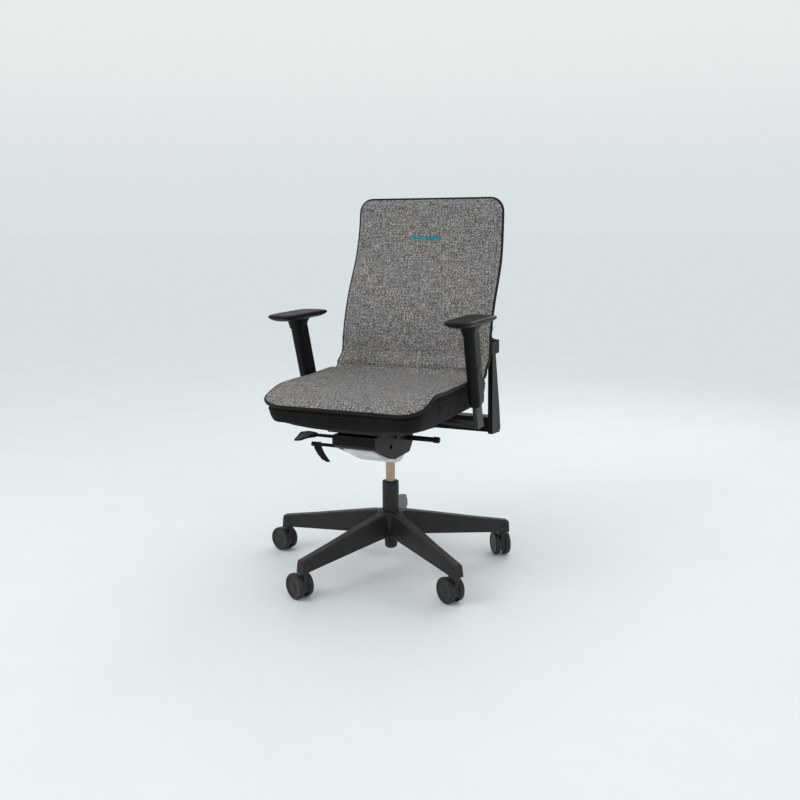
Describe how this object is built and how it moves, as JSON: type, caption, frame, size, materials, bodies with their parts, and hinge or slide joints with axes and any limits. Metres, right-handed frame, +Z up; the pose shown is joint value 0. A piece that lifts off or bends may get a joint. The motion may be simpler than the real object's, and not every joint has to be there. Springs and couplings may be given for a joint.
{
  "type": "office chair",
  "caption": "Swivel office chair with a bound tweed pad draped over its seat and back, sliding armrests, a reclining back and a star base on twin-wheel casters.",
  "frame": {"origin": "the floor, below the middle of the chair's overall footprint; the gas column stands 49 mm towards the sitter's left and 10 mm towards the front of it, because the casters point different ways", "axes": "+Z up, -Y the way the sitter faces, +X the sitter's left"},
  "size_m": [0.7399, 0.7543, 1.118],
  "materials": {
    "black_nylon": "lightly textured moulding",
    "black_plastic": "satin moulding",
    "caster_black": "satin, worn smooth on the tread",
    "black_fabric": "tight upholstery weave",
    "grey_tweed": "heathered flat weave",
    "black_webbing": "woven elastic and bound edges",
    "armpad_foam": "soft skinned foam",
    "bronze_steel": "bronze-toned, drawn",
    "bright_steel": "turned",
    "black_steel": "black powder coat",
    "grey_cover": "satin moulding"
  },
  "bodies": {
    "base": {"star_base": "black_nylon", "column_tube": "black_steel", "column_bush": "black_plastic", "thrust_bearing": "bright_steel"},
    "gas_rod": {"piston_rod": "bright_steel", "retaining_clip": "bright_steel"},
    "mechanism": {"gas_cylinder": "bronze_steel", "mechanism_housing": "black_plastic", "underside_cover": "grey_cover", "recline_shaft": "bright_steel", "slide_pin": "bright_steel", "recline_spring": "bright_steel"},
    "release_pin": {"release_pin": "bright_steel"},
    "release_rocker": {"release_rocker": "bright_steel"},
    "height_lever": {"height_lever": "black_plastic"},
    "tilt_lever": {"tilt_lever": "black_plastic"},
    "tension_rod": {"tension_rod": "black_plastic"},
    "back": {"back_frame": "black_plastic", "back_shell": "black_plastic", "back_cushion": "black_fabric", "overlay_back": "grey_tweed", "overlay_strap": "black_webbing", "strap_buckle": "black_plastic", "seat_shaft": "bright_steel"},
    "seat": {"seat_carrier": "black_steel", "seat_shell": "black_plastic", "seat_cushion": "black_fabric", "overlay_seat": "grey_tweed", "arm_bracket_left": "black_steel", "arm_bracket_right": "black_steel"},
    "arm_left": {"arm_sleeve_left": "black_plastic", "armpad_collar_left": "black_plastic", "armpad_left": "armpad_foam"},
    "arm_button_left": {"arm_button_left": "black_nylon"},
    "arm_right": {"arm_sleeve_right": "black_plastic", "armpad_collar_right": "black_plastic", "armpad_right": "armpad_foam"},
    "arm_button_right": {"arm_button_right": "black_nylon"},
    "caster_1": {"caster_1_hood": "caster_black", "caster_1_axle": "bright_steel"},
    "caster_1_wheel_a": {"caster_1_wheel_a": "caster_black"},
    "caster_1_wheel_b": {"caster_1_wheel_b": "caster_black"},
    "caster_2": {"caster_2_hood": "caster_black", "caster_2_axle": "bright_steel"},
    "caster_2_wheel_a": {"caster_2_wheel_a": "caster_black"},
    "caster_2_wheel_b": {"caster_2_wheel_b": "caster_black"},
    "caster_3": {"caster_3_hood": "caster_black", "caster_3_axle": "bright_steel"},
    "caster_3_wheel_a": {"caster_3_wheel_a": "caster_black"},
    "caster_3_wheel_b": {"caster_3_wheel_b": "caster_black"},
    "caster_4": {"caster_4_hood": "caster_black", "caster_4_axle": "bright_steel"},
    "caster_4_wheel_a": {"caster_4_wheel_a": "caster_black"},
    "caster_4_wheel_b": {"caster_4_wheel_b": "caster_black"},
    "caster_5": {"caster_5_hood": "caster_black", "caster_5_axle": "bright_steel"},
    "caster_5_wheel_a": {"caster_5_wheel_a": "caster_black"},
    "caster_5_wheel_b": {"caster_5_wheel_b": "caster_black"}
  },
  "joints": [
    {"name": "seat_swivel", "type": "hinge", "parent": "base", "child": "gas_rod", "pos_m": [0.049, -0.01, 0.06], "axis": [0, 0, 1], "continuous": true},
    {"name": "seat_height", "type": "slide", "parent": "gas_rod", "child": "mechanism", "axis": [0, 0, 1], "range_m": [-0.055, 0.045]},
    {"name": "back_recline", "type": "hinge", "parent": "mechanism", "child": "back", "pos_m": [0.049, 0.032, 0.422], "axis": [-1, 0, 0], "range_deg": [0, 18], "stiffness_Nm_per_rad": 130, "springref_deg": -20.05},
    {"name": "seat_tilt", "type": "hinge", "parent": "back", "child": "seat", "pos_m": [0.049, 0.115, 0.442], "axis": [-1, 0, 0], "range_deg": [-10.8, 0]},
    {"name": "height_lever_lift", "type": "hinge", "parent": "mechanism", "child": "height_lever", "pos_m": [0.049, -0.16, 0.428], "axis": [-1, 0, 0], "range_deg": [0, 15], "stiffness_Nm_per_rad": 0.3, "springref_deg": -17.19},
    {"name": "release_rock", "type": "hinge", "parent": "mechanism", "child": "release_rocker", "pos_m": [0.049, -0.08, 0.402], "axis": [-1, 0, 0], "range_deg": [0, 2.8]},
    {"name": "release_press", "type": "slide", "parent": "mechanism", "child": "release_pin", "axis": [0, 0, -1], "range_m": [0, 0.0034]},
    {"name": "tilt_lever_turn", "type": "hinge", "parent": "mechanism", "child": "tilt_lever", "pos_m": [0.049, -0.19, 0.4088], "axis": [-1, 0, 0], "range_deg": [0, 25]},
    {"name": "tension_turn", "type": "hinge", "parent": "mechanism", "child": "tension_rod", "pos_m": [0.149, -0.026, 0.412], "axis": [1, 0, 0], "continuous": true},
    {"name": "arm_left_height", "type": "slide", "parent": "seat", "child": "arm_left", "axis": [0.011, -0.282, 0.9594], "range_m": [-0.04, 0.06]},
    {"name": "arm_left_button_press", "type": "slide", "parent": "arm_left", "child": "arm_button_left", "axis": [-0.9999, 0, 0.0115], "range_m": [0, 0.002], "stiffness_N_per_m": 600, "springref_m": -0.002},
    {"name": "arm_right_height", "type": "slide", "parent": "seat", "child": "arm_right", "axis": [-0.011, -0.282, 0.9594], "range_m": [-0.04, 0.06]},
    {"name": "arm_right_button_press", "type": "slide", "parent": "arm_right", "child": "arm_button_right", "axis": [0.9999, 0, 0.0115], "range_m": [0, 0.002], "stiffness_N_per_m": 600, "springref_m": -0.002},
    {"name": "caster_1_swivel", "type": "hinge", "parent": "base", "child": "caster_1", "pos_m": [0.33863, 0.20043, 0.09], "axis": [0, 0, 1], "continuous": true},
    {"name": "caster_1_wheel_a_roll", "type": "hinge", "parent": "caster_1", "child": "caster_1_wheel_a", "pos_m": [0.32452, 0.21984, 0.0375], "axis": [-0.809, -0.5878, 0], "continuous": true},
    {"name": "caster_1_wheel_b_roll", "type": "hinge", "parent": "caster_1", "child": "caster_1_wheel_b", "pos_m": [0.32452, 0.21984, 0.0375], "axis": [-0.809, -0.5878, 0], "continuous": true},
    {"name": "caster_2_swivel", "type": "hinge", "parent": "base", "child": "caster_2", "pos_m": [-0.06163, 0.33048, 0.09], "axis": [0, 0, 1], "continuous": true},
    {"name": "caster_2_wheel_a_roll", "type": "hinge", "parent": "caster_2", "child": "caster_2_wheel_a", "pos_m": [-0.08338, 0.34062, 0.0375], "axis": [-0.4226, -0.9063, 0], "continuous": true},
    {"name": "caster_2_wheel_b_roll", "type": "hinge", "parent": "caster_2", "child": "caster_2_wheel_b", "pos_m": [-0.08338, 0.34062, 0.0375], "axis": [-0.4226, -0.9063, 0], "continuous": true},
    {"name": "caster_3_swivel", "type": "hinge", "parent": "base", "child": "caster_3", "pos_m": [-0.309, -0.01, 0.09], "axis": [0, 0, 1], "continuous": true},
    {"name": "caster_3_wheel_a_roll", "type": "hinge", "parent": "caster_3", "child": "caster_3_wheel_a", "pos_m": [-0.33207, -0.00338, 0.0375], "axis": [-0.2756, -0.9613, 0], "continuous": true},
    {"name": "caster_3_wheel_b_roll", "type": "hinge", "parent": "caster_3", "child": "caster_3_wheel_b", "pos_m": [-0.33207, -0.00338, 0.0375], "axis": [-0.2756, -0.9613, 0], "continuous": true},
    {"name": "caster_4_swivel", "type": "hinge", "parent": "base", "child": "caster_4", "pos_m": [-0.06163, -0.35048, 0.09], "axis": [0, 0, 1], "continuous": true},
    {"name": "caster_4_wheel_a_roll", "type": "hinge", "parent": "caster_4", "child": "caster_4_wheel_a", "pos_m": [-0.08355, -0.34072, 0.0375], "axis": [-0.4067, -0.9135, 0], "continuous": true},
    {"name": "caster_4_wheel_b_roll", "type": "hinge", "parent": "caster_4", "child": "caster_4_wheel_b", "pos_m": [-0.08355, -0.34072, 0.0375], "axis": [-0.4067, -0.9135, 0], "continuous": true},
    {"name": "caster_5_swivel", "type": "hinge", "parent": "base", "child": "caster_5", "pos_m": [0.33863, -0.22043, 0.09], "axis": [0, 0, 1], "continuous": true},
    {"name": "caster_5_wheel_a_roll", "type": "hinge", "parent": "caster_5", "child": "caster_5_wheel_a", "pos_m": [0.31827, -0.20771, 0.0375], "axis": [-0.5299, -0.848, 0], "continuous": true},
    {"name": "caster_5_wheel_b_roll", "type": "hinge", "parent": "caster_5", "child": "caster_5_wheel_b", "pos_m": [0.31827, -0.20771, 0.0375], "axis": [-0.5299, -0.848, 0], "continuous": true}
  ],
  "couplings": [
    {"joint": "seat_tilt", "follows": "back_recline", "ratio": -0.6},
    {"joint": "release_rock", "follows": "height_lever_lift", "ratio": 0.18667},
    {"joint": "release_press", "follows": "height_lever_lift", "m_per_rad": 0.012986}
  ]
}
